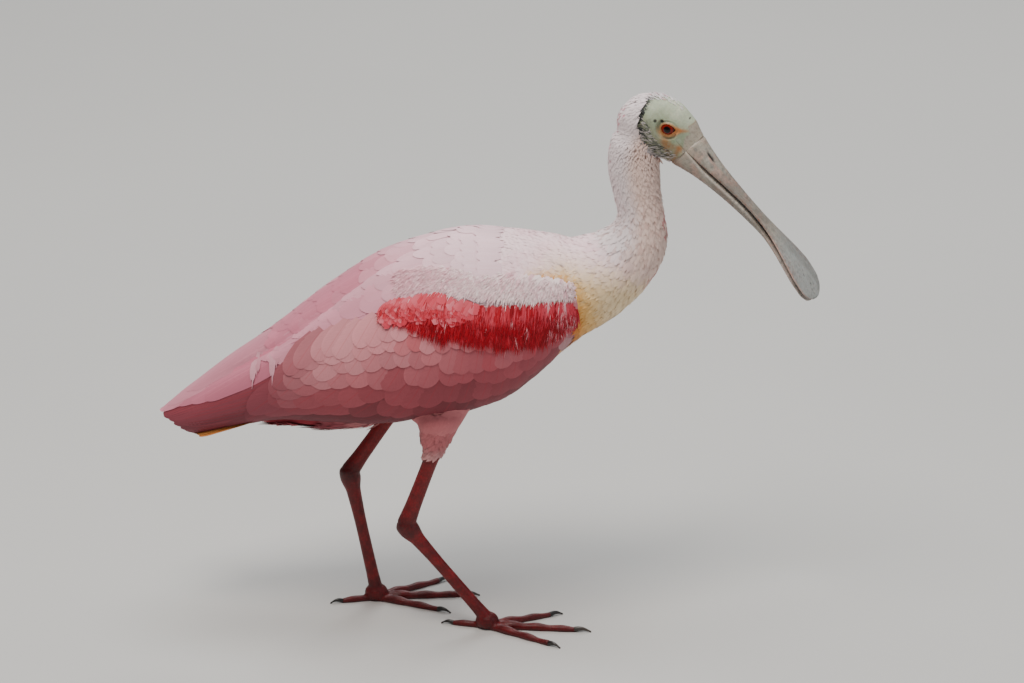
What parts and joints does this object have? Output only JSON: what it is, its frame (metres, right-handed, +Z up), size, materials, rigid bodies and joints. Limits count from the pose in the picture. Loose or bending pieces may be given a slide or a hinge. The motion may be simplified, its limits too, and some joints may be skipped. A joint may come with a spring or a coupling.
{
  "type": "roseate spoonbill",
  "caption": "Life-size still model of a pink wading bird standing mid-step, neck raised and long flat-ended bill held down.",
  "frame": {"origin": "on the floor that the toes rest on, at the middle of the model's box seen from above", "axes": "+X forward, from the tail to the bill; +Y to the bird's left; +Z up"},
  "size_m": [0.541, 0.1438, 0.4606],
  "materials": {
    "bare_skin": "bare pale green skin, ochre round the eye and gape, with a black band behind",
    "bill_horn": "grey horn sheath, mottled, satin",
    "eye": "wet and glossy, dark red iris round a black pupil",
    "white_plumage": "short soft feathers, white with a pink flush, yellow on the breast",
    "pale_pink_plumage": "smooth overlapping feathers, very pale pink",
    "rose_plumage": "overlapping feathers, rose to carmine",
    "tail_buff": "stiff feathers, orange buff",
    "leg_scales": "small horny scales, dark red, satin",
    "claw_horn": "dark horn, satin"
  },
  "bodies": {
    "root": {"head": "bare_skin", "bill_upper": "bill_horn", "bill_lower": "bill_horn", "eye_right": "eye", "eye_left": "eye", "neck_upper": "white_plumage", "neck_middle": "white_plumage", "neck_lower": "white_plumage", "trunk": "rose_plumage", "scapulars_right": "pale_pink_plumage", "scapulars_left": "pale_pink_plumage", "wing_coverts_right": "rose_plumage", "wing_coverts_left": "rose_plumage", "primaries_right": "rose_plumage", "primaries_left": "rose_plumage", "tail": "tail_buff", "undertail_coverts": "rose_plumage", "thigh_right": "rose_plumage", "thigh_left": "rose_plumage", "shank_right": "leg_scales", "shank_left": "leg_scales", "tarsus_right": "leg_scales", "tarsus_left": "leg_scales", "foot_right": "leg_scales", "foot_left": "leg_scales", "toe_inner_right": "leg_scales", "toe_middle_right": "leg_scales", "toe_outer_right": "leg_scales", "toe_hind_right": "leg_scales", "toe_inner_left": "leg_scales", "toe_middle_left": "leg_scales", "toe_outer_left": "leg_scales", "toe_hind_left": "leg_scales", "claw_inner_right": "claw_horn", "claw_middle_right": "claw_horn", "claw_outer_right": "claw_horn", "claw_hind_right": "claw_horn", "claw_inner_left": "claw_horn", "claw_middle_left": "claw_horn", "claw_outer_left": "claw_horn", "claw_hind_left": "claw_horn"}
  },
  "joints": []
}
